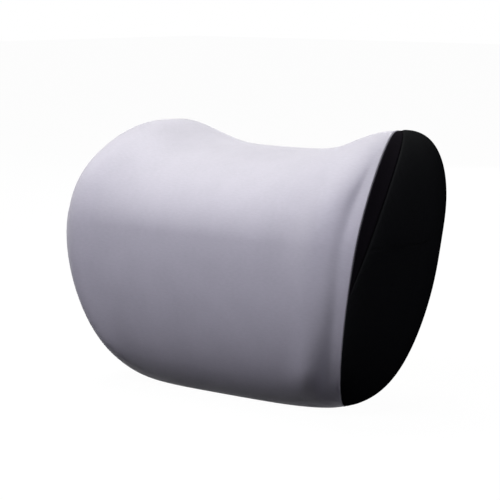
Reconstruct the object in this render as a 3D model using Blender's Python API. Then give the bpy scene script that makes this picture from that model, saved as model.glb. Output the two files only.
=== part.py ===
"""A car neck pillow standing upright on its lower edge, front towards -Y, in metres.

The whole pillow is one closed form. A cut across it at any x is a rounded outline made of four
quarters, each a superellipse with its own reach: up, down, to the front and to the back. Along x
the upward reach has a wide dip in the middle, so that two lobes stand up beside it, and every
reach runs out in a round end. The whole cut leans back as it rises.

The cover's panels are patches of that form with a wall, parted by two slanted planes at each end:
the seam plane, where the front panel stops, and the ridge plane, where the side panel starts. The
crescent between the two planes is the side insert.
"""

import bpy
import numpy as np

# Size of the form. Reaches are counted from the middle of the widest cut.
HALF_WIDTH = 0.140
TOP_REACH = 0.0947
TOP_DIP = 0.0409
DIP_HALF_WIDTH = 0.1023
DIP_SHARPNESS = 3.82
BASE_REACH = 0.1071
BASE_SAG = 0.0100
FRONT_REACH = 0.072
BACK_REACH = 0.034
LEAN = 0.176

# How much deeper the front and the back are at the top of the lobes than at the middle height.
FRONT_SWELL = 0.0947
BACK_SWELL = 0.2557

# How squarely each quarter of a cut turns; 2 is an ellipse.
TOP_FRONT_TURN = 2.0
TOP_BACK_TURN = 4.18
BASE_FRONT_TURN = 2.0
BASE_BACK_TURN = 4.0

# How late and how bluntly each reach runs out at the two ends.
TOP_END_START, TOP_END_BLUNT = 6.63, 2.0
BASE_END_START, BASE_END_BLUNT = 7.82, 2.0
DEPTH_END_START, DEPTH_END_BLUNT = 10.0, 5.5

# The pillow stands on a flat of its lower edge, this far above the form's lowest line.
FOOT_FLAT = 0.0040

# The cover
COVER_WALL = 0.0025
SEAM_GAP = 0.0006
CORE_CLEARANCE = 0.00055
BACK_TOP_EDGE = 48.0
BACK_BASE_EDGE = -81.0
SEAM_SLANT_Y, SEAM_SLANT_Z, SEAM_FROM_TIP = 0.558, -0.180, 0.0382
RIDGE_SLANT_Y, RIDGE_SLANT_Z, RIDGE_FROM_TIP = 1.008, -0.581, 0.0528
INSERT_LEAST_WIDTH = 0.0010

# The elastic strap sewn flat across the back
STRAP_HALF_LENGTH = 0.076
STRAP_MIDDLE = 0.004
STRAP_WIDTH = 0.036
STRAP_THICKNESS = 0.0014
STRAP_CLEARANCE = 0.0003

# Steps of the meshes
FRONT_STEPS = 36
BACK_STEPS = 15
TUBE_ROWS = 20
CAP_RINGS = 8
END_SPACING = 3.4
SPACING_CUT = 0.7


def run_out(t, start, blunt):
    """1 along the middle of the pillow and 0 at its ends."""
    return (1 - np.clip(np.abs(t), 0, 1) ** start) ** (1 / blunt)


def dip_at(t):
    """1 in the middle of the pillow, falling to 0 under the lobes."""
    return 1 / (1 + (np.abs(t) * HALF_WIDTH / DIP_HALF_WIDTH) ** DIP_SHARPNESS)


def form(t, turn):
    """Points of the form: t is -1 to 1 along x, turn is the angle round a cut from the back over the top."""
    t, turn = np.broadcast_arrays(np.asarray(t, float), np.asarray(turn, float))
    c, s = np.cos(turn), np.sin(turn)
    up, front = s >= 0, c < 0
    top = (TOP_REACH - TOP_DIP * dip_at(t)) * run_out(t, TOP_END_START, TOP_END_BLUNT)
    base = (BASE_REACH + BASE_SAG * dip_at(t)) * run_out(t, BASE_END_START, BASE_END_BLUNT)
    depth_end = run_out(t, DEPTH_END_START, DEPTH_END_BLUNT)
    square = np.where(
        up,
        np.where(front, TOP_FRONT_TURN, TOP_BACK_TURN),
        np.where(front, BASE_FRONT_TURN, BASE_BACK_TURN),
    )
    z = np.where(up, top, base) * np.sign(s) * np.abs(s) ** (2 / square)
    y = np.where(front, FRONT_REACH, BACK_REACH) * depth_end * np.sign(c) * np.abs(c) ** (2 / square)
    y = y * (1 + np.where(front, FRONT_SWELL, BACK_SWELL) * z / TOP_REACH)
    return np.stack([t * HALF_WIDTH, y + LEAN * z, z], -1)


def along(v, side):
    """t from v, which is 0 at the tip of an end and 1 in the middle."""
    return side * (1 - v**END_SPACING)


def outward(t, turn):
    """Unit normals of the form."""
    t, turn = np.broadcast_arrays(np.asarray(t, float), np.asarray(turn, float))
    side = np.where(t < 0, -1.0, 1.0)
    v = np.clip(1 - np.abs(t), 0, 1) ** (1 / END_SPACING)
    tip = v < 1e-3
    v = np.maximum(v, 2e-3)
    step = 1e-4
    run = form(along(v - step, side), turn) - form(along(v + step, side), turn)
    around = form(along(v, side), turn + step) - form(along(v, side), turn - step)
    n = np.cross(run * side[..., None], around)
    n /= np.linalg.norm(n, axis=-1, keepdims=True)
    n *= np.sign(np.sum(n * (form(t, turn) - [0, -0.015, 0] * (1 - tip[..., None])), -1, keepdims=True))
    return np.where(tip[..., None], np.stack([side, 0 * side, 0 * side], -1), n)


FOOT_Z = -(BASE_REACH + BASE_SAG) + FOOT_FLAT


def skin(t, turn, inset):
    """Points inset below the form's surface, with the foot flattened."""
    p = form(t, turn) - outward(t, turn) * inset
    p[..., 2] = np.maximum(p[..., 2], FOOT_Z + inset)
    return p


def plane_crossing(turn, slant_y, slant_z, from_tip):
    """t where a slanted plane meets the form at each turn, at the +X end.

    The plane is x + slant_y y + slant_z z = HALF_WIDTH - from_tip.
    """
    low, high = np.full(turn.shape, 0.3), np.full(turn.shape, 0.9999)
    for _ in range(40):
        middle = (low + high) / 2
        p = form(middle, turn)
        inside = p[..., 0] + slant_y * p[..., 1] + slant_z * p[..., 2] < HALF_WIDTH - from_tip
        low, high = np.where(inside, middle, low), np.where(inside, high, middle)
    return (low + high) / 2


def shifted(t, turn, distance):
    """t moved towards the end by a distance along the surface."""
    step = 1e-5
    speed = np.linalg.norm(form(t + step, turn) - form(t - step, turn), axis=-1) / (2 * step)
    return t + distance / speed


def turned(t, turn, distance):
    """turn moved on by a distance along the surface."""
    step = 1e-5
    speed = np.linalg.norm(form(t, turn + step) - form(t, turn - step), axis=-1) / (2 * step)
    return turn + distance / speed


def seam_t(turn):
    return plane_crossing(turn, SEAM_SLANT_Y, SEAM_SLANT_Z, SEAM_FROM_TIP)


def ridge_t(turn):
    return plane_crossing(turn, RIDGE_SLANT_Y, RIDGE_SLANT_Z, RIDGE_FROM_TIP)


def sheet(index, flip_below):
    """Triangles over a grid of point numbers; columns under flip_below are split the mirrored way."""
    faces = []
    for a, b in zip(index[:-1], index[1:]):
        for k in range(index.shape[1] - 1):
            if k < flip_below:
                faces += [[a[k], a[k + 1], b[k]], [a[k + 1], b[k + 1], b[k]]]
            else:
                faces += [[a[k], a[k + 1], b[k + 1]], [a[k], b[k + 1], b[k]]]
    return faces


def rim(path, lift):
    """Triangles that join a line of the outer grid to the same line of the inner grid."""
    faces = []
    for a, b in zip(path[:-1], path[1:]):
        faces += [[b, a, a + lift], [b, a + lift, b + lift]]
    return faces


def walled(outer, inner, closed_round=False, tip=False, flip_below=0):
    """Points and faces of a patch with a wall.

    outer and inner are grids of points, round the pillow by along it. With closed_round the grid
    joins up round the pillow. With tip the last column is one point, the tip of an end.
    """
    around, rows = outer.shape[:2]
    points = np.concatenate([outer.reshape(-1, 3), inner.reshape(-1, 3)])
    lift = around * rows
    index = np.arange(lift).reshape(around, rows)
    if tip:
        index[:, -1] = index[0, -1]
    if closed_round:
        index = np.concatenate([index, index[:1]])
    faces = sheet(index, flip_below)
    faces += [[a + lift, c + lift, b + lift] for a, b, c in faces]
    faces += rim(index[::-1, 0], lift)
    if not tip:
        faces += rim(index[:, -1], lift)
    if not closed_round:
        faces += rim(index[0], lift) + rim(index[-1, ::-1], lift)
    return points, faces


def clean(points, faces):
    """Drop collapsed faces and unused points, and turn the faces outwards."""
    faces = np.array([f for f in faces if len(set(f)) == 3])
    used = np.unique(faces)
    number = np.zeros(len(points), int)
    number[used] = np.arange(len(used))
    points, faces = points[used], number[faces]
    a, b, c = points[faces[:, 0]], points[faces[:, 1]], points[faces[:, 2]]
    if np.sum(a * np.cross(b, c)) < 0:
        faces = faces[:, ::-1]
    return points, faces


def patch(t, turn, **kind):
    """A cover panel from its grid of t and turn."""
    return clean(*walled(skin(t, turn, 0.0), skin(t, turn, COVER_WALL), **kind))


def crescent_ends():
    """The two turns between which the ridge plane is beyond the seam plane."""
    fine = np.linspace(0, 2 * np.pi, 3001)
    width = shifted(ridge_t(fine), fine, -SEAM_GAP / 2) - shifted(seam_t(fine), fine, SEAM_GAP / 2)
    wide = fine[width * HALF_WIDTH > INSERT_LEAST_WIDTH]
    return wide[0], wide[-1]


def even_turns(low, high, steps):
    """Turns closer together where the cut bends more, from its length and its bend together."""
    fine = np.linspace(low, high, 4001)
    n = outward(np.full(fine.shape, SPACING_CUT), fine)
    length = np.linalg.norm(np.diff(form(SPACING_CUT, fine), axis=0), axis=1)
    bend = np.linalg.norm(np.diff(n, axis=0), axis=1)
    spent = np.concatenate([[0], np.cumsum(length / length.sum() + bend / bend.sum())])
    return np.interp(np.linspace(0, spent[-1], steps + 1), spent, fine)


def moved_to(turns, wanted):
    """The turns with the inner ones nearest to the wanted ones moved onto them."""
    turns = turns.copy()
    for one in wanted:
        if turns[0] < one < turns[-1]:
            turns[1 + np.argmin(np.abs(turns[1:-1] - one))] = one
    return turns


# Turns shared by every panel, so that the edges of neighbours run side by side.
edge_low, edge_high = np.radians(BACK_BASE_EDGE), np.radians(BACK_TOP_EDGE)
crescent = crescent_ends()
back_turns = moved_to(even_turns(edge_low, edge_high, BACK_STEPS), crescent)
front_turns = moved_to(even_turns(edge_high, edge_low + 2 * np.pi, FRONT_STEPS), crescent)
all_turns = np.concatenate([back_turns, front_turns[1:-1]])


def tube_rows(turns):
    """t of the rows between the two seam planes, closer together near them."""
    spread = np.sin(np.linspace(-1, 1, TUBE_ROWS + 1) * np.pi / 2)
    return shifted(seam_t(turns), turns, -SEAM_GAP / 2)[:, None] * spread[None, :]


def cap_rows(turns):
    """v of the rows over an end, from the farther of the two planes to the tip."""
    seam = shifted(seam_t(turns), turns, SEAM_GAP / 2)
    ridge = shifted(ridge_t(turns), turns, SEAM_GAP / 2)
    edge = (1 - np.maximum(seam, ridge))[:, None] ** (1 / END_SPACING)
    return edge * np.linspace(1, 0, CAP_RINGS + 1)[None, :]


def tube_panel(turns):
    """A panel between the two seam planes, with half a seam gap all round."""
    t = tube_rows(turns)
    turn = np.repeat(turns[:, None], TUBE_ROWS + 1, 1)
    turn[0] = turned(t[0], turn[0], SEAM_GAP / 2)
    turn[-1] = turned(t[-1], turn[-1], -SEAM_GAP / 2)
    return patch(t, turn, flip_below=TUBE_ROWS // 2)


def cap_panel(side):
    """The panel over one end."""
    turn = np.repeat(all_turns[:, None], CAP_RINGS + 1, 1)
    return patch(along(cap_rows(all_turns), side), turn, closed_round=True, tip=True)


def insert_panel(side):
    """The crescent between the seam plane and the ridge plane of one end."""
    turns = all_turns[(all_turns > crescent[0] - 1e-9) & (all_turns < crescent[1] + 1e-9)]
    low = shifted(seam_t(turns), turns, SEAM_GAP / 2)
    high = shifted(ridge_t(turns), turns, -SEAM_GAP)
    across = np.linspace(0, 1, 4)[None, :]
    t = side * (low[:, None] * (1 - across) + high[:, None] * across)
    return patch(t, np.repeat(turns[:, None], 4, 1))


def core():
    """The foam inside the cover, closed at both tips, on the rows of the panels."""
    end = along(cap_rows(all_turns), 1.0)
    t = np.concatenate([-end[:, ::-1], tube_rows(all_turns), end], 1)
    turn = np.repeat(all_turns[:, None], t.shape[1], 1)
    grid = skin(t, turn, COVER_WALL + CORE_CLEARANCE)
    index = np.arange(grid[..., 0].size).reshape(grid.shape[:2])
    index[:, 0], index[:, -1] = index[0, 0], index[0, -1]
    index = np.concatenate([index, index[:1]])
    return clean(grid.reshape(-1, 3), sheet(index, index.shape[1] // 2))


def back_surface(x, z):
    """y of the form's back face at x and z."""
    t = x / HALF_WIDTH
    top = (TOP_REACH - TOP_DIP * dip_at(t)) * run_out(t, TOP_END_START, TOP_END_BLUNT)
    base = (BASE_REACH + BASE_SAG * dip_at(t)) * run_out(t, BASE_END_START, BASE_END_BLUNT)
    reach = np.where(z >= 0, top, base)
    square = np.where(z >= 0, TOP_BACK_TURN, BASE_BACK_TURN)
    y = (1 - np.abs(z / reach) ** square) ** (1 / square)
    y = y * BACK_REACH * run_out(t, DEPTH_END_START, DEPTH_END_BLUNT)
    return y * (1 + BACK_SWELL * z / TOP_REACH) + LEAN * z


def strap():
    """The elastic band, following the back face."""
    x, z = np.meshgrid(
        np.linspace(-STRAP_HALF_LENGTH, STRAP_HALF_LENGTH, 17),
        STRAP_MIDDLE + np.linspace(-STRAP_WIDTH / 2, STRAP_WIDTH / 2, 5),
        indexing="ij",
    )
    y = back_surface(x, z)
    near = np.stack([x, y + STRAP_CLEARANCE * 1.1, z], -1)
    far = np.stack([x, y + STRAP_CLEARANCE * 1.1 + STRAP_THICKNESS, z], -1)
    return clean(*walled(far, near))


def material(name, colour, roughness, sheen):
    made = bpy.data.materials.new(name)
    made.use_nodes = True
    shader = made.node_tree.nodes["Principled BSDF"]
    shader.inputs["Base Color"].default_value = (*colour, 1)
    shader.inputs["Roughness"].default_value = roughness
    shader.inputs["Sheen Weight"].default_value = sheen
    return made


def add(name, shape, look):
    points, faces = shape
    mesh = bpy.data.meshes.new(name)
    mesh.from_pydata((points - ORIGIN).tolist(), [], faces.tolist())
    mesh.update()
    mesh.materials.append(look)
    made = bpy.data.objects.new(name, mesh)
    bpy.context.scene.collection.objects.link(made)


for old in list(bpy.data.objects):
    bpy.data.objects.remove(old, do_unlink=True)

silver = material("silver_knit", (0.42, 0.41, 0.46), 0.55, 0.3)
black_smooth = material("smooth_black_knit", (0.008, 0.008, 0.010), 0.60, 0.1)
black_rough = material("coarse_black_knit", (0.012, 0.010, 0.013), 0.80, 0.2)
foam = material("foam", (0.85, 0.83, 0.74), 0.90, 0.0)
elastic = material("elastic", (0.015, 0.015, 0.017), 0.70, 0.1)

shapes = [
    ("front_panel", tube_panel(front_turns), silver),
    ("back_panel", tube_panel(back_turns), black_rough),
    ("side_panel_right", cap_panel(1.0), black_smooth),
    ("side_panel_left", cap_panel(-1.0), black_smooth),
    ("side_insert_right", insert_panel(1.0), black_rough),
    ("side_insert_left", insert_panel(-1.0), black_rough),
    ("foam_core", core(), foam),
    ("elastic_strap", strap(), elastic),
]

# The origin is the middle of the underside of the pillow's box.
every = np.concatenate([shape[0] for _, shape, _ in shapes])
low, high = every.min(0), every.max(0)
ORIGIN = np.array([0.0, (low[1] + high[1]) / 2, low[2]])

for name, shape, look in shapes:
    add(name, shape, look)

print("the form's middle is at y", round(-ORIGIN[1], 5), "and z", round(-ORIGIN[2], 5))
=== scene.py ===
"""The looks of a car neck pillow: its knit cover, seams, stitches, strap and foam.

Every cover piece is a patch of the pillow's one closed form, worked out on a fine grid. t runs
from -1 to 1 along x and turn is the angle round a cut, from the back over the top to the front.
The form has its own axes, which start at MIDDLE in the frame. Lengths are in metres.
"""

import math

import bpy
import numpy as np
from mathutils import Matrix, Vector

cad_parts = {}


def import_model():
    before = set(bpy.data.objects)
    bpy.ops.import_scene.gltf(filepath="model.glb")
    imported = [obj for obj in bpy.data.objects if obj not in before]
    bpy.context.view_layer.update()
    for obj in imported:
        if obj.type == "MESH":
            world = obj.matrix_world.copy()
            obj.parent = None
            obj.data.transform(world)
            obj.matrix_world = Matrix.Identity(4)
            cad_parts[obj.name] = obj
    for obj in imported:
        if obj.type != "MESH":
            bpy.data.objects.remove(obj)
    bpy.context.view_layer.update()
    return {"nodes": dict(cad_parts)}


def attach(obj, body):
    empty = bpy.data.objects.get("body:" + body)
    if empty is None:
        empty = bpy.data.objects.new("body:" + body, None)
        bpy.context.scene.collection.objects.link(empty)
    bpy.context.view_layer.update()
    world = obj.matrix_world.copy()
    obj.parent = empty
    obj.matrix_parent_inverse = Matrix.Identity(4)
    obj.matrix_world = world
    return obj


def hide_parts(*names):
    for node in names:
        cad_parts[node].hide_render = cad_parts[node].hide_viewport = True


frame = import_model()

# The form, as the solid pieces have it. A TURN is the exponent of one quarter of a cut.
HALF_WIDTH = 0.140
TOP_REACH = 0.0947
TOP_DIP = 0.0409
DIP_HALF_WIDTH = 0.1023
DIP_SHARPNESS = 3.82
BASE_REACH = 0.1071
BASE_SAG = 0.0100
FRONT_REACH = 0.072
BACK_REACH = 0.034
LEAN = 0.176
FRONT_SWELL = 0.0947
BACK_SWELL = 0.2557
TOP_FRONT_TURN = 2.0
TOP_BACK_TURN = 4.18
BASE_FRONT_TURN = 2.0
BASE_BACK_TURN = 4.0
TOP_END_START, TOP_END_BLUNT = 6.63, 2.0
BASE_END_START, BASE_END_BLUNT = 7.82, 2.0
DEPTH_END_START, DEPTH_END_BLUNT = 10.0, 5.5
FOOT_FLAT = 0.0040
BACK_TOP_EDGE = 48.0
BACK_BASE_EDGE = -81.0
SEAM_SLANT_Y, SEAM_SLANT_Z, SEAM_FROM_TIP = 0.558, -0.180, 0.0382
RIDGE_SLANT_Y, RIDGE_SLANT_Z, RIDGE_FROM_TIP = 1.008, -0.581, 0.0528
END_SPACING = 3.4

# Where the form's middle is in the frame: its lowest line is at z 0 once the foot is flat.
MIDDLE = np.array([0.0, 0.01432, 0.1131])
FOOT_Z = -(BASE_REACH + BASE_SAG) + FOOT_FLAT
FOOT_SOFTNESS = 0.0009

# Steps and limits of the work on the form
TIP_SHARE, LEAST_SHARE = 1e-3, 2e-3
SLOPE_STEP, SPEED_STEP = 1e-4, 1e-5
INNER_POINT = np.array([0, -0.015, 0])
SEARCH_LOW, SEARCH_HIGH, HALVINGS = 0.3, 0.9999, 40
EVEN_TURNS, CRESCENT_TURNS, STITCH_TURNS = 6001, 3001, 20001
SAMPLE_CUT, BEND_SHARE = 0.7, 0.35
LEAST_DIVISOR = 1e-6

# The grids of the cover pieces: rows round the cut and columns along x, and how they are graded
FRONT_GRID, BACK_GRID, CAP_GRID, INSERT_GRID = (352, 200), (136, 160), (440, 64), (320, 24)
TUBE_CROWDING, INSERT_CROWDING = 0.93, 0.85
RING_EVEN, RING_POWER = 0.12, 1.35
INNER_STEP = 4

# The cover's cloth: its wall, the gap at a seam, and the rolls into a fold and into the side seam
COVER_WALL, LEAST_WALL = 0.0022, 0.0004
SEAM_GAP = 0.00025
TUCK_DEPTH, TUCK_WIDTH = 0.0009, 0.0020
EDGE_DEPTH, EDGE_WIDTH = 0.00045, 0.0009
ROLL_HEIGHT, ROLL_START, ROLL_REACH = 0.0005, 0.004, 0.016

# The inserts: narrowest width, shares of the tuck and of the width, and the hollow between seams
INSERT_LEAST_WIDTH = 0.0007
INSERT_TUCK_SHARE, INSERT_WIDTH_SHARE = 0.8, 0.12
INSERT_HOLLOW, INSERT_HOLLOW_SHARE = 0.0008, 0.05

# The dent beside the silver panel's side seams, and the swell next to it
VALLEY_SLOPE, VALLEY_LOW_SLOPE = 0.27, 0.21
VALLEY_LOW_REACH, VALLEY_HIGH_REACH = 0.0155, 0.0115
VALLEY_FOOT_START, VALLEY_FOOT = 0.003, 0.034
VALLEY_TOP, VALLEY_FULL, VALLEY_WIDEST = 0.176, 0.138, 0.045
SWELL_HEIGHT, SWELL_PLACE, SWELL_WIDTH = 0.0033, 0.0275, 0.0140

# Settled and risen crowns: place in t, reach in t, middle turn, spread of the turn, depth
LEFT_SLUMP = (-0.76, 0.22, 1.20, 0.75, 0.0014)
RIGHT_SLUMP = (0.55, 0.14, 1.60, 0.75, 0.0021)
RIGHT_RISE = (0.82, 0.13, 1.60, 0.60, -0.0014)
LEFT_CROWN = 0.0009
CROWN_TURN, CROWN_SPREAD, CROWN_REACH, CROWN_START = 1.3, 0.5, 0.04, 0.003

# Gathers beside a seam: height, pitch and reach of each kind, and how their second sine differs
SIDE_GATHERS = (0.00006, 0.0061, 0.007)
FOLD_GATHERS = (0.00014, 0.0083, 0.008)
CAP_GATHERS = (0.00010, 0.0067, 0.007)
INSERT_GATHERS = (0.00008, 0.0059, 0.004)
GATHERS_START = 0.0012
SECOND_HEIGHT, SECOND_PITCH, SECOND_PHASE, SECOND_SHIFT = 0.6, 1.73, 2.1, 1.3

# Slow unevenness: its heights, its sines' count and lengths, and where it starts
TUBE_WAVES, CAP_WAVES = 0.00025, 0.0003
WAVE_COUNT, WAVE_LENGTHS = 7, (0.035, 0.09)
WAVES_START, WAVES_TIP_START = 0.02, 0.01


def run_out(t, start, blunt):
    """1 along the middle of the pillow and 0 at its ends: (1 - |t|^start)^(1/blunt)."""
    return (1 - np.clip(np.abs(t), 0, 1) ** start) ** (1 / blunt)


def dip_at(t):
    """1 in the pillow's middle and near 0 in the lobes: 1 / (1 + |x / half width|^sharpness)."""
    return 1 / (1 + (np.abs(t) * HALF_WIDTH / DIP_HALF_WIDTH) ** DIP_SHARPNESS)


def reaches(t):
    """The form's reach up and its reach down at t."""
    top = (TOP_REACH - TOP_DIP * dip_at(t)) * run_out(t, TOP_END_START, TOP_END_BLUNT)
    base = (BASE_REACH + BASE_SAG * dip_at(t)) * run_out(t, BASE_END_START, BASE_END_BLUNT)
    return top, base


def form(t, turn):
    """Points of the form.

    In each quarter of a cut the reach up, down, forward or back is multiplied by the cosine or
    sine of turn to the power 2/square, and the whole cut leans back as it rises.
    """
    t, turn = np.broadcast_arrays(np.asarray(t, float), np.asarray(turn, float))
    c, s = np.cos(turn), np.sin(turn)
    up, front = s >= 0, c < 0
    top, base = reaches(t)
    square = np.where(
        up,
        np.where(front, TOP_FRONT_TURN, TOP_BACK_TURN),
        np.where(front, BASE_FRONT_TURN, BASE_BACK_TURN),
    )
    z = np.where(up, top, base) * np.sign(s) * np.abs(s) ** (2 / square)
    depth = np.where(front, FRONT_REACH, BACK_REACH) * run_out(t, DEPTH_END_START, DEPTH_END_BLUNT)
    y = depth * np.sign(c) * np.abs(c) ** (2 / square)
    y = y * (1 + np.where(front, FRONT_SWELL, BACK_SWELL) * z / TOP_REACH)
    return np.stack([t * HALF_WIDTH, y + LEAN * z, z], -1)


def along(v, side):
    """t from v, which is 0 at the tip of an end and 1 in the middle."""
    return side * (1 - v**END_SPACING)


def outward(t, turn):
    """Unit normals of the form, from the cross product of its two slopes; along x at a tip."""
    t, turn = np.broadcast_arrays(np.asarray(t, float), np.asarray(turn, float))
    side = np.where(t < 0, -1.0, 1.0)
    v = np.clip(1 - np.abs(t), 0, 1) ** (1 / END_SPACING)
    tip = v < TIP_SHARE
    v = np.maximum(v, LEAST_SHARE)
    step = SLOPE_STEP
    run = form(along(v - step, side), turn) - form(along(v + step, side), turn)
    around = form(along(v, side), turn + step) - form(along(v, side), turn - step)
    n = np.cross(run * side[..., None], around)
    n /= np.linalg.norm(n, axis=-1, keepdims=True)
    from_inside = form(t, turn) - INNER_POINT * (1 - tip[..., None])
    n *= np.sign(np.sum(n * from_inside, -1, keepdims=True))
    return np.where(tip[..., None], np.stack([side, 0 * side, 0 * side], -1), n)


def skin(t, turn, lift):
    """Points that stand lift above the form, in the frame, with the foot flattened softly.

    The foot is a soft maximum: z becomes foot + k log(1 + exp((z - foot) / k)).
    """
    p = form(t, turn) + outward(t, turn) * np.asarray(lift)[..., None]
    above = (p[..., 2] - FOOT_Z) / FOOT_SOFTNESS
    p[..., 2] = FOOT_Z + FOOT_SOFTNESS * np.logaddexp(0, above)
    return p + MIDDLE


def plane_crossing(turn, slant_y, slant_z, from_tip):
    """t where the form meets a plane, by halving.

    The plane is x + slant_y y + slant_z z = HALF_WIDTH - from_tip.
    """
    low, high = np.full(turn.shape, SEARCH_LOW), np.full(turn.shape, SEARCH_HIGH)
    for _ in range(HALVINGS):
        middle = (low + high) / 2
        p = form(middle, turn)
        inside = p[..., 0] + slant_y * p[..., 1] + slant_z * p[..., 2] < HALF_WIDTH - from_tip
        low, high = np.where(inside, middle, low), np.where(inside, high, middle)
    return (low + high) / 2


def shifted(t, turn, distance):
    """t moved towards the end by a distance along the surface."""
    step = SPEED_STEP
    speed = np.linalg.norm(form(t + step, turn) - form(t - step, turn), axis=-1) / (2 * step)
    return t + distance / speed


def turned(t, turn, distance):
    """turn moved on by a distance along the surface."""
    step = SPEED_STEP
    speed = np.linalg.norm(form(t, turn + step) - form(t, turn - step), axis=-1) / (2 * step)
    return turn + distance / speed


def seam_t(turn):
    """t of the seam that ends the silver panel and the back panel."""
    return plane_crossing(turn, SEAM_SLANT_Y, SEAM_SLANT_Z, SEAM_FROM_TIP)


def ridge_t(turn):
    """t of the second seam, where the side panel starts on the front."""
    return plane_crossing(turn, RIDGE_SLANT_Y, RIDGE_SLANT_Z, RIDGE_FROM_TIP)


def crescent_ends():
    """The two turns between which the ridge lies beyond the seam."""
    fine = np.linspace(0, 2 * np.pi, CRESCENT_TURNS)
    wide = fine[(ridge_t(fine) - seam_t(fine)) * HALF_WIDTH > INSERT_LEAST_WIDTH]
    return wide[0], wide[-1]


def even_turns(low, high, steps):
    """Turns closer together where the cut bends more, from its length and its bend together."""
    fine = np.linspace(low, high, EVEN_TURNS)
    n = outward(np.full(fine.shape, SAMPLE_CUT), fine)
    length = np.linalg.norm(np.diff(form(SAMPLE_CUT, fine), axis=0), axis=1)
    bend = np.linalg.norm(np.diff(n, axis=0), axis=1)
    spent = np.cumsum(length / length.sum() + BEND_SHARE * bend / bend.sum())
    spent = np.concatenate([[0], spent])
    return np.interp(np.linspace(0, spent[-1], steps + 1), spent, fine)


def graded(steps, crowding):
    """0 to 1 with closer steps near both ends: q - crowding sin(2 pi q) / (2 pi)."""
    q = np.linspace(0, 1, steps + 1)
    return q - crowding * np.sin(2 * np.pi * q) / (2 * np.pi)


def travelled(points, axis):
    """Distance along one direction of a grid of points, from its first line."""
    steps = np.linalg.norm(np.diff(points, axis=axis), axis=-1)
    total = np.cumsum(steps, axis=axis)
    start = np.zeros_like(np.take(total, [0], axis=axis))
    return np.concatenate([start, total], axis=axis)


def eased(q):
    """q clipped to 0 and 1, with no slope at either: q^2 (3 - 2 q)."""
    q = np.clip(q, 0, 1)
    return q**2 * (3 - 2 * q)


def rising(distance, start):
    """0 at a seam and nearly 1 a few starts away from it."""
    return 1 - np.exp(-distance / start)


def tucked(distance, depth=TUCK_DEPTH, width=TUCK_WIDTH):
    """How far the cloth sinks as it rolls into a seam: a quarter ellipse, depth by width."""
    near = np.clip(1 - distance / width, 0, 1)
    return -depth * (1 - np.sqrt(1 - near**2))


def valley(distance, height):
    """The dent beside a side seam, where the filling stops short of the seam's stiff edge.

    With r the distance over the dent's reach, the cloth sinks by slope reach r / (1 + r^6). The
    dent starts at the top of the lobes, grows wider all the way down and fades out over the foot.
    Beside it the filling swells by a bell curve of the distance.
    """
    grown = eased((VALLEY_TOP - height) / (VALLEY_TOP - VALLEY_FULL))
    wider = eased((VALLEY_FULL - height) / (VALLEY_FULL - VALLEY_WIDEST))
    above_foot = eased((height - VALLEY_FOOT_START) / (VALLEY_FOOT - VALLEY_FOOT_START))
    reach = VALLEY_HIGH_REACH + (VALLEY_LOW_REACH - VALLEY_HIGH_REACH) * wider
    reach = reach * (0.5 + 0.5 * grown)
    slope = VALLEY_SLOPE + (VALLEY_LOW_SLOPE - VALLEY_SLOPE) * wider
    r = distance / reach
    swell = SWELL_HEIGHT * np.exp(-(((distance - SWELL_PLACE) / SWELL_WIDTH) ** 2))
    return grown * above_foot * (swell - slope * reach * r / (1 + r**6))


def slump(t, turn):
    """How far the lobes' crowns have settled or risen: bells of the turn times bells of t."""
    sunk = 0.0
    for place, reach, middle_turn, spread, depth in (LEFT_SLUMP, RIGHT_SLUMP, RIGHT_RISE):
        bell = np.exp(-(((turn - middle_turn) / spread) ** 2) - ((t - place) / reach) ** 2)
        sunk = sunk - depth * bell
    return sunk


def gathered(distance, run, height, pitch, reach, phase):
    """Small gathers beside a seam: two sines along it, fading with the distance from it."""
    wave = np.sin(2 * np.pi * run / pitch + phase)
    second = 2 * np.pi * run / (pitch * SECOND_PITCH) + SECOND_PHASE * phase + SECOND_SHIFT
    wave = wave + SECOND_HEIGHT * np.sin(second)
    return height * wave * np.exp(-distance / reach) * rising(distance, GATHERS_START)


def slow_waves(points, height, seed):
    """Very slow unevenness of hand-filled cloth: a sum of sines with seeded directions."""
    rng = np.random.default_rng(seed)
    total = np.zeros(points.shape[:-1])
    for _ in range(WAVE_COUNT):
        direction = rng.normal(size=3)
        direction *= 2 * np.pi / rng.uniform(*WAVE_LENGTHS) / np.linalg.norm(direction)
        total += np.sin(points @ direction + rng.uniform(0, 2 * np.pi))
    return height * total / WAVE_COUNT


def grid_faces(index):
    """Quads between neighbouring lines of a grid of point numbers."""
    corners = [index[:-1, :-1], index[1:, :-1], index[1:, 1:], index[:-1, 1:]]
    return np.stack(corners, -1).reshape(-1, 4)


def rim_faces(line, inner, step):
    """Faces between a line of the outer grid and the inner one's, which has every step-th point."""
    count = len(inner) - 1
    fan = [line[k : k + step * (count - 1) + 1 : step] for k in range(step + 1)]
    return np.stack([*fan, inner[1:], inner[:-1]], -1)


def linked(name, data):
    """A new object in the scene."""
    made = bpy.data.objects.new(name, data)
    bpy.context.scene.collection.objects.link(made)
    return made


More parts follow.
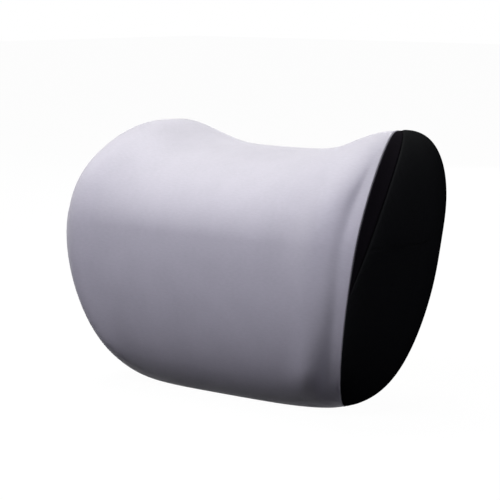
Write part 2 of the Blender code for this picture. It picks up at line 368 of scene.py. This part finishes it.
def mesh_object(name, points, faces, cloth, look):
    """A smooth closed mesh from points, arrays of faces and the cloth coordinates of the points.

    A quad with two neighbouring corners at one point becomes a triangle. The faces are turned
    outwards by the sign of the volume that they enclose.
    """
    faces = [f for f in faces if len(f)]
    tip_faces = []
    for k, f in enumerate(faces):
        if f.shape[1] == 4:
            same = f == np.roll(f, -1, axis=1)
            short = same.any(1)
            keep = np.array([[1, 2, 3], [0, 2, 3], [0, 1, 3], [0, 1, 2]])[same[short].argmax(1)]
            tip_faces.append(np.take_along_axis(f[short], keep, 1))
            faces[k] = f[~short]
    faces += [f for f in tip_faces if len(f)]
    volume = 0.0
    for f in faces:
        a = points[f[:, 0]]
        for k in range(1, f.shape[1] - 1):
            volume += np.sum(a * np.cross(points[f[:, k]], points[f[:, k + 1]]))
    if volume < 0:
        faces = [f[:, ::-1] for f in faces]
    corners = np.concatenate([f.ravel() for f in faces])
    used, numbered = np.unique(corners, return_inverse=True)
    sizes = np.concatenate([np.full(len(f), f.shape[1]) for f in faces])
    mesh = bpy.data.meshes.new(name)
    mesh.vertices.add(len(used))
    mesh.vertices.foreach_set("co", points[used].astype(np.float32).ravel())
    mesh.loops.add(len(numbered))
    mesh.loops.foreach_set("vertex_index", numbered.astype(np.int32))
    mesh.polygons.add(len(sizes))
    mesh.polygons.foreach_set("loop_start", (np.cumsum(sizes) - sizes).astype(np.int32))
    mesh.update(calc_edges=True)
    layer = mesh.uv_layers.new(name="cloth")
    layer.uv.foreach_set("vector", cloth[used][numbered].astype(np.float32).ravel())
    mesh.shade_smooth()
    mesh.materials.append(look)
    return linked(name, mesh)


def panel(name, t, turn, lift, cloth, look, closed_round=False, tip=False):
    """A cover piece: the fine outer grid, a coarse inner one a wall below it, and the rims.

    With closed_round the first line of the grid is the last one's neighbour. With tip the last
    column is the one point of an end's tip.
    """
    step = INNER_STEP
    if closed_round:
        t, turn, lift, cloth = (np.concatenate([a, a[:1]]) for a in (t, turn, lift, cloth))
    outer = skin(t, turn, lift)
    inner_lift = np.minimum(lift[::step, ::step] - LEAST_WALL, -COVER_WALL)
    inner = skin(t[::step, ::step], turn[::step, ::step], inner_lift)
    index = np.arange(outer[..., 0].size).reshape(outer.shape[:2])
    below = index.size + np.arange(inner[..., 0].size).reshape(inner.shape[:2])
    if tip:
        index[:, -1], below[:, -1] = index[0, -1], below[0, -1]
    if closed_round:
        index[-1], below[-1] = index[0], below[0]
    faces = [grid_faces(index), grid_faces(below)[:, ::-1]]
    faces.append(rim_faces(index[:, 0], below[:, 0], step)[:, ::-1])
    if not tip:
        faces.append(rim_faces(index[:, -1], below[:, -1], step))
    if not closed_round:
        faces.append(rim_faces(index[0], below[0], step))
        faces.append(rim_faces(index[-1], below[-1], step)[:, ::-1])
    points = np.concatenate([outer.reshape(-1, 3), inner.reshape(-1, 3)])
    cloth = np.concatenate([cloth.reshape(-1, 2), cloth[::step, ::step].reshape(-1, 2)])
    return mesh_object(name, points, faces, cloth, look)


def tube_panel(name, low, high, grid, look, seed, dented=0.0):
    """The front or the back panel, between the two side seams and between two turns.

    dented is 1 with the valleys beside the side seams and 0 without.
    """
    rows, columns = grid
    turns = even_turns(low, high, rows)
    edge = shifted(seam_t(turns), turns, -SEAM_GAP / 2)
    t = edge[:, None] * (2 * graded(columns, TUBE_CROWDING)[None, :] - 1)
    turn = np.repeat(turns[:, None], columns + 1, 1)
    for line, distance in ((0, SEAM_GAP / 2), (-1, -SEAM_GAP / 2)):
        turn[line] = turned(t[line], turn[line], distance)
    flat = form(t, turn)
    across, down = travelled(flat, 1), travelled(flat, 0)
    side = np.minimum(across, across[:, -1:] - across)
    fold = np.minimum(down, down[-1:] - down)
    lift = tucked(side, EDGE_DEPTH, EDGE_WIDTH) + tucked(fold)
    lift += dented * valley(side, flat[..., 2] + MIDDLE[2]) + slump(t, turn)
    lift += gathered(side, down, *SIDE_GATHERS, seed)
    lift += gathered(fold, across, *FOLD_GATHERS, seed + 1.0)
    lift += slow_waves(flat, TUBE_WAVES, seed) * rising(np.minimum(side, fold), WAVES_START)
    half = columns // 2
    cloth = np.stack([across - across[:, half : half + 1], down - down[rows // 2]], -1)
    return panel(name, t, turn, lift, cloth, look)


def cap_panel(name, side, look, seed):
    """The side panel over one end, from the farther of the two seams to the tip.

    The left one's crown is LEFT_CROWN lower beside its seam, by a bell curve of the turn.
    """
    rows, rings = CAP_GRID
    turns = even_turns(0.0, 2 * np.pi, rows)[:-1]
    seam = shifted(seam_t(turns), turns, SEAM_GAP / 2)
    ridge = shifted(ridge_t(turns), turns, SEAM_GAP / 2)
    edge = (1 - np.maximum(seam, ridge))[:, None] ** (1 / END_SPACING)
    q = np.linspace(0, 1, rings + 1)[None, :]
    t = along(edge * (1 - (RING_EVEN * q + (1 - RING_EVEN) * q**RING_POWER)), side)
    turn = np.repeat(turns[:, None], rings + 1, 1)
    flat = form(t, turn)
    inward = travelled(flat, 1)
    from_tip = inward[:, -1:] - inward
    run = travelled(np.concatenate([flat[:, :1], flat[:1, :1]]), 0)[:-1]
    roll = ROLL_HEIGHT * rising(inward, ROLL_START) * np.exp(-inward / ROLL_REACH)
    lift = tucked(inward) + roll + slump(t, turn)
    if side < 0:
        crown = np.exp(-(((turn - CROWN_TURN) / CROWN_SPREAD) ** 2) - inward / CROWN_REACH)
        lift -= LEFT_CROWN * crown * rising(inward, CROWN_START)
    lift += gathered(inward, run, *CAP_GATHERS, seed)
    waves = slow_waves(flat, CAP_WAVES, seed)
    lift += waves * rising(inward, WAVES_START) * rising(from_tip, WAVES_TIP_START)
    cloth = np.stack([from_tip * np.cos(turn), from_tip * np.sin(turn)], -1)
    return panel(name, t, turn, lift, cloth, look, closed_round=True, tip=True)


def insert_panel(name, side, look, seed):
    """The crescent between the seam and the ridge, slightly hollow across its width."""
    rows, columns = INSERT_GRID
    low_turn, high_turn = crescent_ends()
    turns = even_turns(low_turn, high_turn, rows)
    low = shifted(seam_t(turns), turns, SEAM_GAP / 2)
    high = shifted(ridge_t(turns), turns, -SEAM_GAP / 2)
    share = graded(columns, INSERT_CROWDING)[None, :]
    t = side * (low[:, None] * (1 - share) + high[:, None] * share)
    turn = np.repeat(turns[:, None], columns + 1, 1)
    flat = form(t, turn)
    across, down = travelled(flat, 1), travelled(flat, 0)
    width = across[:, -1:]
    near = np.minimum(across, width - across)
    depth = np.minimum(TUCK_DEPTH * INSERT_TUCK_SHARE, width * INSERT_WIDTH_SHARE)
    lift = tucked(near, depth, np.minimum(TUCK_WIDTH, width / 2))
    hollow = np.sin(np.pi * across / np.maximum(width, LEAST_DIVISOR))
    lift -= np.minimum(INSERT_HOLLOW, width * INSERT_HOLLOW_SHARE) * hollow
    lift += slump(t, turn)
    lift += gathered(near, down, *INSERT_GATHERS, seed)
    return panel(name, t, turn, lift, np.stack([across, down], -1), look)


class Value:
    """A shader socket that takes part in Python expressions; each operator adds its Math node."""

    def __init__(self, look, socket):
        self.look, self.socket = look, socket

    def maths(self, operation, *others):
        """A Math node that takes this value first."""
        inputs = dict(enumerate((self, *others)))
        return self.look.node("ShaderNodeMath", {"operation": operation}, inputs)

    def __add__(self, other):
        return self.maths("ADD", other)

    def __sub__(self, other):
        return self.maths("SUBTRACT", other)

    def __rsub__(self, other):
        return self.maths("MULTIPLY", -1.0).maths("ADD", other)

    def __mul__(self, other):
        return self.maths("MULTIPLY", other)

    def __truediv__(self, other):
        return self.maths("DIVIDE", other)

    def __abs__(self):
        return self.maths("ABSOLUTE")

    __radd__ = __add__


class Look:
    """A material built on one Principled shader."""

    def __init__(self, name, specular=None, **inputs):
        self.material = bpy.data.materials.new(name)
        self.material.use_nodes = True
        self.tree = self.material.node_tree
        self.shader = self.tree.nodes["Principled BSDF"]
        if specular is not None:
            self.shader.inputs["Specular IOR Level"].default_value = specular
        self.drive(**inputs)

    def drive(self, **inputs):
        """Feeds the shader's inputs; base_color stands for Base Color."""
        for key, value in inputs.items():
            self.feed(self.shader.inputs[key.replace("_", " ").title()], value)

    def feed(self, socket, value):
        """A link to the socket for a Value, and its default value otherwise."""
        if isinstance(value, Value):
            self.tree.links.new(value.socket, socket)
        else:
            socket.default_value = value

    def node(self, kind, settings=None, inputs=None, output=0):
        """Any node: its settings are set first, then each input takes a value or a link."""
        made = self.tree.nodes.new(kind)
        for key, value in (settings or {}).items():
            setattr(made, key, value)
        for key, value in (inputs or {}).items():
            self.feed(made.inputs[key], value)
        return Value(self, made.outputs[output])

    def noise(self, scale, detail, roughness=0.55):
        """Noise in object space."""
        place = self.node("ShaderNodeTexCoord", output="Object")
        inputs = {"Vector": place, "Scale": scale, "Detail": detail, "Roughness": roughness}
        return self.node("ShaderNodeTexNoise", inputs=inputs, output="Fac")

    def cloth(self):
        """The two cloth coordinates of the piece, in metres."""
        split = {"Vector": self.node("ShaderNodeUVMap", {"uv_map": "cloth"})}
        return (
            self.node("ShaderNodeSeparateXYZ", inputs=split, output="X"),
            self.node("ShaderNodeSeparateXYZ", inputs=split, output="Y"),
        )

    def blend(self, factor, low, high):
        """A colour between two colours."""
        inputs = {0: factor, 6: (*low, 1), 7: (*high, 1)}
        return self.node("ShaderNodeMix", {"data_type": "RGBA"}, inputs, output=2)

    def bump(self, height, distance, strength, under=None):
        """A Bump node on top of another one."""
        inputs = {"Height": height, "Distance": distance, "Strength": strength}
        if under is not None:
            inputs["Normal"] = under
        return self.node("ShaderNodeBump", inputs=inputs)


def knit_height(look, wale, course):
    """Height of plain knit: in each wale two slanted strands meet in a V, with grooves between."""
    u, v = look.cloth()
    side = abs((u / wale).maths("FRACT") * 2 - 1)
    strand = ((v / course + side * 0.8) * (2 * math.pi)).maths("SINE") * 0.5 + 0.5
    return strand * (side * math.pi).maths("SINE").maths("MAXIMUM", 0.0).maths("SQRT")


def silver_knit():
    """Satin grey knit: a fine V knit, slow changes of shade, fine rows and a soft sheen."""
    look = Look(
        "silver_knit",
        specular=0.1,
        sheen_weight=0.12,
        sheen_roughness=0.35,
        sheen_tint=(0.93, 0.92, 1.0, 1),
    )
    cloud = look.noise(38.0, 2.0)
    knit = knit_height(look, wale=0.00075, course=0.00062)
    u, v = look.cloth()
    row = look.node("ShaderNodeCombineXYZ", inputs={"X": u * 260.0, "Y": v * 900.0})
    rows = {"Vector": row, "Scale": 1.0, "Detail": 2.0}
    grain = look.node("ShaderNodeTexNoise", inputs=rows, output="Fac")
    shade = cloud * 0.3 + knit * 0.35 + grain * 0.35
    look.drive(base_color=look.blend(shade, (0.340, 0.334, 0.376), (0.542, 0.532, 0.593)))
    look.drive(roughness=0.58 - knit * 0.12)
    fine = look.bump(knit, 0.00012, 0.30)
    look.drive(normal=look.bump(cloud, 0.0006, 0.12, fine))
    return look.material


def black_knit(name, wale, grain, roughness, sheen, dark, light):
    """Black knit: V knit at its own gauge, with fibre grain over it."""
    look = Look(
        name,
        specular=0.0,
        sheen_weight=sheen,
        sheen_roughness=0.45,
        sheen_tint=(0.8, 0.8, 0.9, 1),
    )
    fibre = look.noise(1400.0, 4.0, 0.7)
    cloud = look.noise(60.0, 2.0)
    knit = knit_height(look, wale, course=wale * 0.85)
    shade = knit * 0.5 + fibre * 0.3 + cloud * 0.2
    look.drive(base_color=look.blend(shade, dark, light))
    look.drive(roughness=roughness + fibre * 0.12 - knit * 0.08)
    coarse = look.bump(knit, wale * 0.2, 0.6)
    look.drive(normal=look.bump(fibre, 0.0004, grain, coarse))
    return look.material


def thread(name, colour):
    """Sewing thread: one colour, darker in the grooves of a fine noise."""
    look = Look(name, roughness=0.5, sheen_weight=0.2)
    twist = look.noise(2600.0, 1.0)
    look.drive(base_color=look.blend(twist, tuple(c * 0.7 for c in colour), colour))
    look.drive(normal=look.bump(twist, 0.0001, 0.4))
    return look.material


def woven_elastic():
    """Black woven elastic: threads across the band, with fibre grain."""
    look = Look("elastic", sheen_weight=0.15, sheen_roughness=0.4)
    u, _ = look.cloth()
    weft = (u * (2 * math.pi / 0.0007)).maths("SINE") * 0.5 + 0.5
    fibre = look.noise(1500.0, 3.0, 0.65)
    shade = weft * 0.6 + fibre * 0.4
    look.drive(base_color=look.blend(shade, (0.009, 0.009, 0.011), (0.024, 0.024, 0.028)))
    look.drive(roughness=0.6 + fibre * 0.2)
    rib = look.bump(weft, 0.00012, 0.6)
    look.drive(normal=look.bump(fibre, 0.0002, 0.3, rib))
    return look.material


def foam():
    """Cut memory foam: cream, with open cells."""
    look = Look("foam", roughness=0.9, sheen_weight=0.1)
    place = look.node("ShaderNodeTexCoord", output="Object")
    inputs = {"Vector": place, "Scale": 900.0}
    cells = look.node("ShaderNodeTexVoronoi", inputs=inputs, output="Distance")
    look.drive(base_color=look.blend(cells, (0.62, 0.58, 0.46), (0.86, 0.83, 0.74)))
    look.drive(normal=look.bump(cells, 0.0005, 0.6))
    return look.material


silver = silver_knit()
black_smooth = black_knit(
    "smooth_black_knit",
    wale=0.0009,
    grain=0.15,
    roughness=0.6,
    sheen=0.0,
    dark=(0.0058, 0.0061, 0.0065),
    light=(0.0135, 0.0142, 0.0148),
)
black_coarse = black_knit(
    "coarse_black_knit",
    wale=0.0015,
    grain=0.45,
    roughness=0.75,
    sheen=0.01,
    dark=(0.003, 0.0026, 0.0034),
    light=(0.010, 0.0085, 0.011),
)
black_thread = thread("black_thread", (0.080, 0.079, 0.086))
grey_thread = thread("grey_thread", (0.30, 0.295, 0.33))
elastic = woven_elastic()

edge_low, edge_high = math.radians(BACK_BASE_EDGE), math.radians(BACK_TOP_EDGE)
edge_under = edge_low + 2 * math.pi
front = tube_panel("front_cover", edge_high, edge_under, FRONT_GRID, silver, 1, dented=1.0)
back = tube_panel("back_cover", edge_low, edge_high, BACK_GRID, black_coarse, 2)
covers = [("front_panel", front, "silver_knit"), ("back_panel", back, "coarse_black_knit")]
for word, side, seed in (("right", 1.0, 3), ("left", -1.0, 5)):
    cap = cap_panel("side_cover_" + word, side, black_smooth, seed)
    insert = insert_panel("insert_cover_" + word, side, black_coarse, seed + 1)
    covers.append(("side_panel_" + word, cap, "smooth_black_knit"))
    covers.append(("side_insert_" + word, insert, "coarse_black_knit"))
for node, piece, slot in covers:
    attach(piece, "root")
    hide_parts(node)

foam_core = frame["nodes"]["foam_core"]
foam_core.data.materials.clear()
foam_core.data.materials.append(foam())

# The elastic strap
STRAP_HALF_LENGTH = 0.076
STRAP_MIDDLE = 0.004
STRAP_WIDTH = 0.036
STRAP_THICKNESS = 0.0014
STRAP_GRID = (152, 160)
STRAP_RIBS = 16
STRAP_RIB_HEIGHT = 0.00014
STRAP_EDGE_POWER = 14
STRAP_CLEARANCE = 0.0004
STRAP_SLACK = 0.0022
STRAP_TAB = 0.020


def back_surface(x, z):
    """y of the form's back face at x and z, the inverse of the cut's outline."""
    t = x / HALF_WIDTH
    top, base = reaches(t)
    reach = np.where(z >= 0, top, base)
    square = np.where(z >= 0, TOP_BACK_TURN, BASE_BACK_TURN)
    y = (1 - np.abs(z / reach) ** square) ** (1 / square)
    y = y * BACK_REACH * run_out(t, DEPTH_END_START, DEPTH_END_BLUNT)
    return y * (1 + BACK_SWELL * z / TOP_REACH) + LEAN * z


def strap_points(x, z, far):
    """Points of the strap's outer face, or of its inner one without far.

    It follows the back face, with a little slack in the middle, ribs along its length and
    rounded edges.
    """
    slack = STRAP_SLACK * np.clip(1 - (x / (STRAP_HALF_LENGTH - STRAP_TAB)) ** 2, 0, 1) ** 2
    across = z / (STRAP_WIDTH / 2)
    edge = np.sqrt(np.clip(1 - np.abs(across) ** STRAP_EDGE_POWER, 0, 1))
    rib = STRAP_RIB_HEIGHT * np.cos(across * np.pi * STRAP_RIBS)
    y = back_surface(x, STRAP_MIDDLE + z) + slack + STRAP_THICKNESS / 2 + STRAP_CLEARANCE
    half = (STRAP_THICKNESS / 2 + rib) * edge
    return np.stack([x, y + np.where(far, half, -half), STRAP_MIDDLE + z], -1) + MIDDLE


def strap():
    """The elastic band sewn across the back: two faces that meet along the rounded edges."""
    rows, columns = STRAP_GRID
    x, z = np.meshgrid(
        np.linspace(-STRAP_HALF_LENGTH, STRAP_HALF_LENGTH, rows + 1),
        np.linspace(-STRAP_WIDTH / 2, STRAP_WIDTH / 2, columns + 1),
        indexing="ij",
    )
    outer, inner = strap_points(x, z, True), strap_points(x, z, False)
    index = np.arange(outer[..., 0].size).reshape(outer.shape[:2])
    below = index + index.size
    below[:, 0], below[:, -1] = index[:, 0], index[:, -1]
    first, last = (
        np.stack([index[k, :-1], index[k, 1:], below[k, 1:], below[k, :-1]], -1) for k in (0, -1)
    )
    faces = [grid_faces(index), grid_faces(below)[:, ::-1], first, last[:, ::-1]]
    cloth = np.stack([x, z], -1).reshape(-1, 2)
    points = np.concatenate([outer.reshape(-1, 3), inner.reshape(-1, 3)])
    return mesh_object("elastic_band", points, faces, np.concatenate([cloth, cloth]), elastic)


band = strap()
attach(band, "root")
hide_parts("elastic_strap")

# Sewing thread: STITCH_RISE and STITCH_SINK are shares of a stitch's arch
THREAD_RADIUS = 0.00028
THREAD_SIDES = 6
THREAD_ROWS = 6
STITCH_RISE, STITCH_SINK = 1.4, 0.4

# Stitches across the side seams: how far each reaches over and under the seam, and how deep
SEAM_PITCH, SEAM_OVER, SEAM_UNDER = 0.0019, 0.0008, 0.0011
SEAM_START_DEPTH, SEAM_END_DEPTH = 0.00035, 0.0005
SEAM_ARCH = 0.0004

# Stitches of the strap: STITCH_MARGIN and STITCH_SHARE are shares of one stitch's step
STITCH_LENGTH = 0.0030
STITCH_SPACE = 0.0009
STITCH_MARGIN, STITCH_SHARE = 0.12, 0.76
STRAP_INSET = 0.0028
STRAP_ARCH = 0.00022


def stitches(name, start, end, up, arch, look):
    """One mesh of many stitches: each is a tube that leaves the cloth, arches over it and returns.

    At share w of its length its centre stands arch (1.4 sin(pi w) - 0.4) above the line from
    start to end, and its radius is the thread's times sqrt(sin(pi w)), which closes both ends.
    """
    w = np.linspace(0, 1, THREAD_ROWS + 1)
    hump = np.sin(np.pi * w)
    angle = np.linspace(0, 2 * np.pi, THREAD_SIDES, endpoint=False)
    ahead = end - start
    ahead_unit = ahead / np.linalg.norm(ahead, axis=1, keepdims=True)
    aside = np.cross(ahead_unit, up)
    aside /= np.linalg.norm(aside, axis=1, keepdims=True)
    height = arch * (hump[:, None] * STITCH_RISE - STITCH_SINK)
    centre = start[:, None] + ahead[:, None] * w[:, None] + up[:, None] * height
    ring = np.cos(angle)[:, None] * aside[:, None, None]
    ring = ring + np.sin(angle)[:, None] * up[:, None, None]
    radius = THREAD_RADIUS * np.sqrt(np.maximum(hump, 0))
    points = centre[:, :, None] + ring * radius[:, None, None]
    index = np.arange(points[..., 0].size).reshape(points.shape[:3])
    index[:, 0], index[:, -1] = index[:, 0, :1], index[:, -1, :1]
    index = np.concatenate([index, index[:, :, :1]], 2)
    corners = [index[:, :-1, :-1], index[:, :-1, 1:], index[:, 1:, 1:], index[:, 1:, :-1]]
    faces = np.stack(corners, -1).reshape(-1, 4)
    flat = points.reshape(-1, 3)
    made = mesh_object(name, flat, [faces], flat[:, :2], look)
    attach(made, "root")
    return made


def seam_stitches(side):
    """Starts, ends and outward directions of the stitches across one of the silver panel's side
    seams, one every SEAM_PITCH from the front's top to its base."""
    fine = np.linspace(edge_high, edge_under, STITCH_TURNS)
    line = form(side * seam_t(fine), fine)
    run = np.concatenate([[0], np.cumsum(np.linalg.norm(np.diff(line, axis=0), axis=1))])
    turn = np.interp(np.arange(SEAM_PITCH, run[-1] - SEAM_PITCH, SEAM_PITCH), run, fine)
    edge = seam_t(turn)
    sunk = slump(side * edge, turn)
    start = skin(side * shifted(edge, turn, -SEAM_OVER), turn, sunk - SEAM_START_DEPTH)
    end = skin(side * shifted(edge, turn, SEAM_UNDER), turn, sunk - SEAM_END_DEPTH)
    return start, end, outward(side * edge, turn)


def strap_stitches():
    """A sewn box with its two diagonals at each end of the strap."""
    starts, ends = [], []
    for side in (1.0, -1.0):
        near = side * (STRAP_HALF_LENGTH - STRAP_TAB)
        far = side * (STRAP_HALF_LENGTH - STRAP_INSET)
        half = STRAP_WIDTH / 2 - STRAP_INSET
        corners = np.array([[near, -half], [far, -half], [far, half], [near, half]])
        for a, b in ((0, 1), (1, 2), (2, 3), (3, 0), (0, 2), (1, 3)):
            line = corners[b] - corners[a]
            count = int(np.linalg.norm(line) / (STITCH_LENGTH + STITCH_SPACE))
            step = 1 / count
            first = np.arange(count) * step + step * STITCH_MARGIN
            starts.append(corners[a] + line * first[:, None])
            ends.append(corners[a] + line * (first + step * STITCH_SHARE)[:, None])
    start, end = (strap_points(*np.concatenate(p).T, True) for p in (starts, ends))
    up = np.tile([0.0, 1.0, -LEAN], (len(start), 1))
    up = up / np.linalg.norm(up[0])
    return stitches("strap_stitches", start, end, up, STRAP_ARCH, black_thread)


for word, side in (("right", 1.0), ("left", -1.0)):
    sewn = stitches("seam_stitches_" + word, *seam_stitches(side), SEAM_ARCH, grey_thread)
strap_stitches()

# The camera, fitted to the photograph's outline of the pillow; angles are in degrees
VIEW_AZIMUTH, VIEW_HEIGHT, VIEW_DISTANCE = 43, 6.567, 1.52433
LENS, SENSOR = 159.35, 36.0
AIM_RIGHT, AIM_UP = -0.0084, -0.01639

# The lamps stand at one distance: azimuth and height in degrees, watts, colour
LAMP_DISTANCE, LAMP_SIZE = 1.7, 0.7
LAMPS = {
    "key": (26, 48, 9.2, (1.0, 1.0, 0.95)),
    "left": (-90, 70, 26.0, (1.0, 1.0, 0.88)),
    "front": (-2, 44, 21.0, (0.89, 0.865, 1.0)),
    "right": (95, 5, 6.2, (0.87, 0.85, 1.0)),
    "back": (-160, 12, 16.0, (0.95, 0.95, 1.0)),
}

# The dim light from all round, and the floor
WORLD_COLOUR, WORLD_STRENGTH = (0.6, 0.5, 1.0, 1), 0.012
FLOOR_HALF, FLOOR_SHADE, FLOOR_GLOW = 6.0, 0.9, 0.975


def bearing(azimuth, height):
    """Unit vector away from the pillow's middle at an azimuth and height in degrees."""
    a, e = math.radians(azimuth), math.radians(height)
    return Vector((math.sin(a) * math.cos(e), -math.cos(a) * math.cos(e), math.sin(e)))


def facing(ahead):
    """The turn of a camera or lamp that looks along a direction."""
    return ahead.to_track_quat("-Z", "Y").to_euler()


def camera():
    """The camera stands away from the form's middle and aims a little beside it."""
    a = math.radians(VIEW_AZIMUTH)
    right = Vector((math.cos(a), math.sin(a), 0))
    ahead = -bearing(VIEW_AZIMUTH, VIEW_HEIGHT)
    up = right.cross(ahead)
    place = Vector(MIDDLE) - ahead * VIEW_DISTANCE
    aim = Vector(MIDDLE) + right * AIM_RIGHT + up * AIM_UP
    made = linked("camera", bpy.data.cameras.new("camera"))
    made.data.lens, made.data.sensor_width = LENS, SENSOR
    made.location = place
    made.rotation_euler = facing(aim - place)
    bpy.context.scene.camera = made


def area_lamp(name, azimuth, height, watts, colour):
    """A square soft lamp at an azimuth and height, facing the pillow's middle."""
    lamp = bpy.data.lights.new(name, "AREA")
    lamp.shape, lamp.size, lamp.energy, lamp.color = "SQUARE", LAMP_SIZE, watts, colour
    made = linked(name, lamp)
    made.visible_camera = False
    offset = bearing(azimuth, height)
    made.location = Vector(MIDDLE) + offset * LAMP_DISTANCE
    made.rotation_euler = facing(-offset)


def only_seen(tree, plain, seen, factor):
    """Mixes a seen shader in by factor for the camera's, the glossy and the transmitted rays."""
    path = tree.nodes.new("ShaderNodeLightPath")
    found = path.outputs["Is Camera Ray"]
    for other in ("Is Glossy Ray", "Is Transmission Ray"):
        either = tree.nodes.new("ShaderNodeMath")
        either.operation = "MAXIMUM"
        tree.links.new(found, either.inputs[0])
        tree.links.new(path.outputs[other], either.inputs[1])
        found = either.outputs[0]
    scaled = tree.nodes.new("ShaderNodeMath")
    scaled.operation = "MULTIPLY"
    scaled.inputs[1].default_value = factor
    tree.links.new(found, scaled.inputs[0])
    mix = tree.nodes.new("ShaderNodeMixShader")
    for k, output in enumerate((scaled.outputs[0], plain, seen)):
        tree.links.new(output, mix.inputs[k])
    return mix.outputs[0]


def world():
    """White where it is seen, and a dim even light on the pillow."""
    made = bpy.data.worlds.new("studio")
    made.use_nodes = True
    bpy.context.scene.world = made
    tree = made.node_tree
    dim = tree.nodes["Background"]
    dim.inputs["Color"].default_value = WORLD_COLOUR
    dim.inputs["Strength"].default_value = WORLD_STRENGTH
    white = tree.nodes.new("ShaderNodeBackground")
    white.inputs["Color"].default_value = (1, 1, 1, 1)
    lit = only_seen(tree, dim.outputs[0], white.outputs[0], 1.0)
    tree.links.new(lit, tree.nodes["World Output"].inputs["Surface"])


def floor():
    """A wide white floor that keeps the pillow's shadow."""
    half = FLOOR_HALF
    corners = [(-half, -half, 0), (half, -half, 0), (half, half, 0), (-half, half, 0)]
    mesh = bpy.data.meshes.new("floor")
    mesh.from_pydata(corners, [], [(0, 1, 2, 3)])
    made = linked("floor", mesh)
    look = Look("floor", roughness=0.9, base_color=(FLOOR_SHADE, FLOOR_SHADE, FLOOR_SHADE, 1))
    glow = look.tree.nodes.new("ShaderNodeEmission")
    lit = only_seen(look.tree, look.shader.outputs[0], glow.outputs[0], FLOOR_GLOW)
    look.tree.links.new(lit, look.tree.nodes["Material Output"].inputs["Surface"])
    mesh.materials.append(look.material)
    made.visible_diffuse = False


bpy.context.scene.view_settings.view_transform = "Standard"
camera()
world()
floor()
for name, values in LAMPS.items():
    area_lamp(name, *values)
